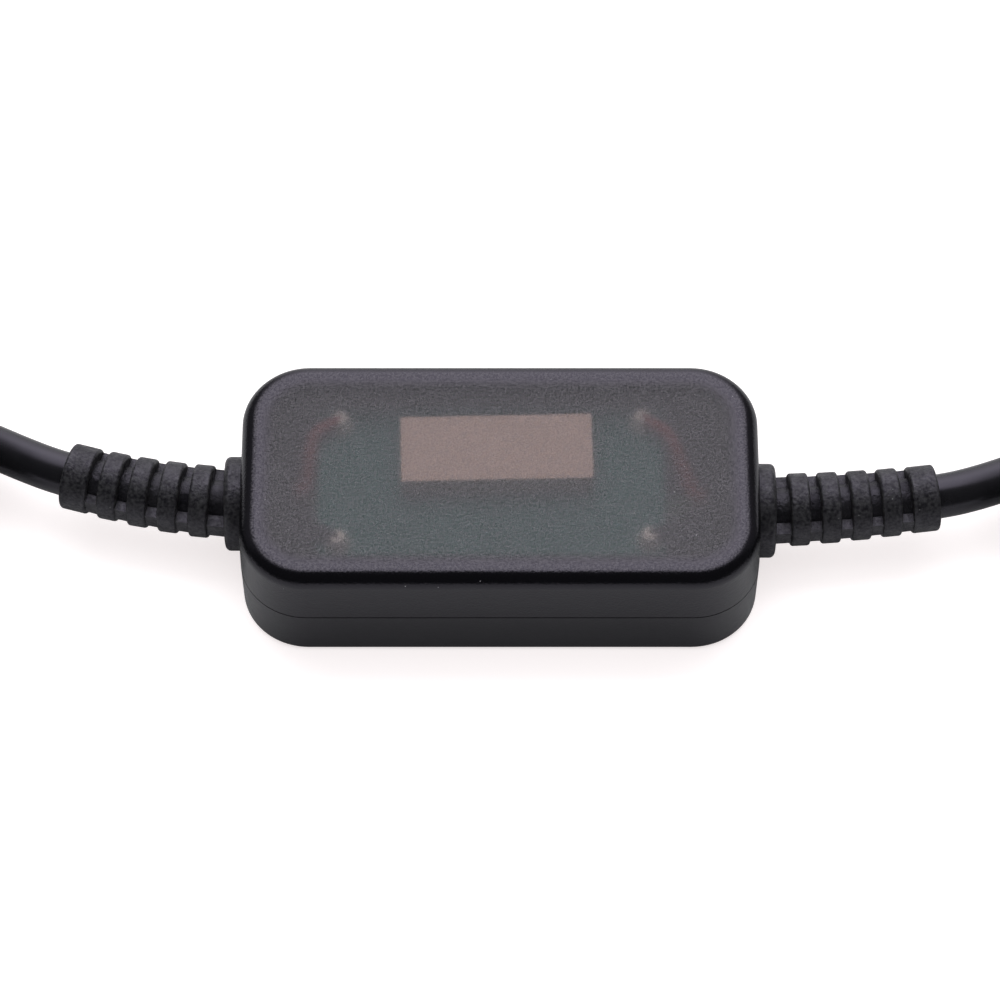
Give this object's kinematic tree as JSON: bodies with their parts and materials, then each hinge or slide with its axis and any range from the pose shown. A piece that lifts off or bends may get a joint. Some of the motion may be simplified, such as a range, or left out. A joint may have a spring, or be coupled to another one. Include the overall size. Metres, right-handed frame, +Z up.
{
  "type": "usb power meter",
  "caption": "Inline USB power meter: small rounded box with a smoked lid over a numeric display, ribbed strain reliefs at both ends, and short cables to a USB-A plug and a USB-A socket",
  "frame": {"origin": "middle of the box's underside, on the surface that it stands on", "axes": "+X along the box and the cable, from the input side to the output side; +Y to the back; +Z up"},
  "size_m": [0.241, 0.0324, 0.0184],
  "materials": {
    "smoked_lid": "smoked translucent moulding with a fine satin texture",
    "black_case": "satin black moulding",
    "board_green": "green solder mask",
    "display_white": "pale housing",
    "segment_epoxy": "milky epoxy",
    "tinned_metal": "tinned",
    "chip_black": "moulded epoxy",
    "shunt_alloy": "bare alloy strip",
    "ceramic_tan": "ceramic",
    "wire_red": "insulation",
    "wire_black": "insulation",
    "wire_green": "insulation",
    "wire_white": "insulation",
    "relief_black": "fine textured soft moulding",
    "plated_steel": "nickel plated",
    "insulator_black": "moulded",
    "contact_gold": "gold flash",
    "tie_strap": "hook and loop strap",
    "cable_black": "smooth soft jacket"
  },
  "bodies": {
    "root": {"capacitors": "ceramic_tan", "circuit_board": "board_green", "current_shunt": "shunt_alloy", "data_wire_green": "wire_green", "data_wire_white": "wire_white", "display_body": "display_white", "display_pins": "tinned_metal", "display_segments": "segment_epoxy", "input_black_wire": "wire_black", "input_cable_core": "cable_black", "input_cable_hank": "cable_black", "input_cable_lead": "cable_black", "input_cable_tail": "cable_black", "input_red_wire": "wire_red", "input_strain_relief": "relief_black", "input_tie": "tie_strap", "lower_shell": "black_case", "microcontroller": "chip_black", "output_black_wire": "wire_black", "output_cable_core": "cable_black", "output_cable_hank": "cable_black", "output_cable_lead": "cable_black", "output_cable_tail": "cable_black", "output_red_wire": "wire_red", "output_strain_relief": "relief_black", "output_tie": "tie_strap", "plug_contacts": "contact_gold", "plug_insulator": "insulator_black", "plug_overmold": "relief_black", "plug_shell": "plated_steel", "resistors": "chip_black", "socket_contacts": "contact_gold", "socket_overmold": "relief_black", "socket_shell": "plated_steel", "socket_tongue": "insulator_black", "solder_joints": "tinned_metal", "upper_shell": "smoked_lid", "voltage_regulator": "chip_black"}
  },
  "joints": []
}
